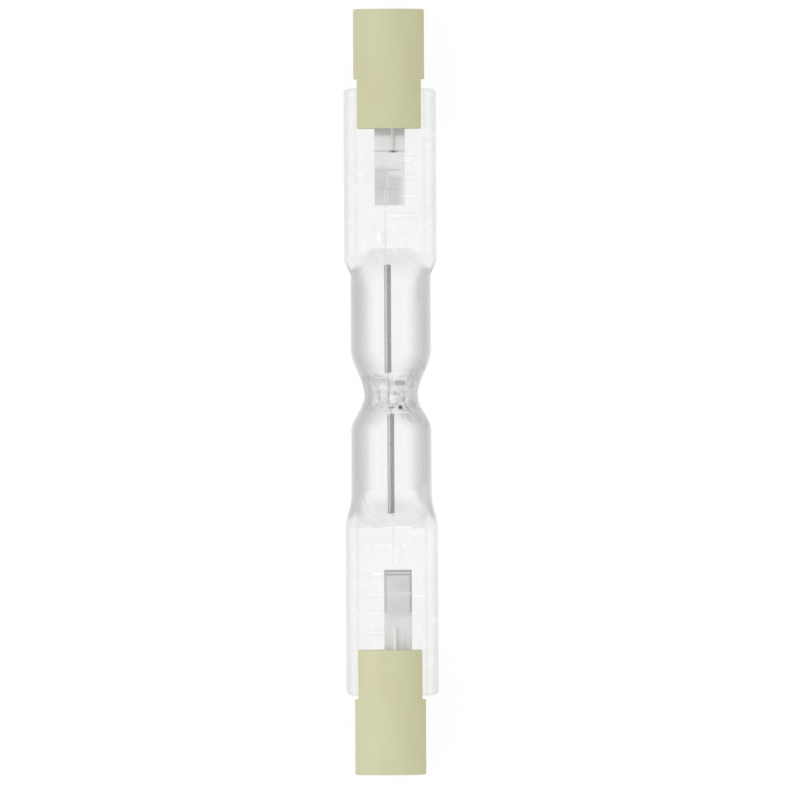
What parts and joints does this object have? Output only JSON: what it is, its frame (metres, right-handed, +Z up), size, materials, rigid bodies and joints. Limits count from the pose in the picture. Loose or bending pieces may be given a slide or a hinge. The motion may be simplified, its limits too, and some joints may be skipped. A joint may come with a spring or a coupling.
{
  "type": "linear halogen bulb",
  "caption": "Double-ended linear halogen bulb: clear quartz tube with a coiled filament, flat pinch seals and slotted ceramic caps with recessed contacts.",
  "frame": {"origin": "centre of the underside of the bounding box: under the middle of the lamp, on the surface that its round chambers rest on", "axes": "+X along the lamp, towards the cap at the top of the picture; +Z up from the resting surface, normal to the flat seals, on the side of the exhaust tip; +Y across the lamp, towards the left of the picture"},
  "size_m": [0.0782, 0.0094, 0.0082],
  "materials": {
    "quartz": "clear fire-polished quartz, crinkled where it was pressed and melted",
    "ceramic": "matt fired steatite, pale greenish cream",
    "cement": "rough matt cement",
    "contact": "satin nickel-plated",
    "foil": "satin molybdenum foil",
    "lead": "drawn molybdenum wire",
    "filament": "dark grey coiled tungsten"
  },
  "bodies": {
    "root": {"quartz_envelope": "quartz", "filament": "filament", "inner_lead_right": "lead", "inner_lead_left": "lead", "foil_right": "foil", "foil_left": "foil", "outer_lead_right": "lead", "outer_lead_left": "lead", "ceramic_cap_right": "ceramic", "ceramic_cap_left": "ceramic", "contact_button_right": "contact", "contact_button_left": "contact", "cement_right": "cement", "cement_left": "cement"}
  },
  "joints": []
}
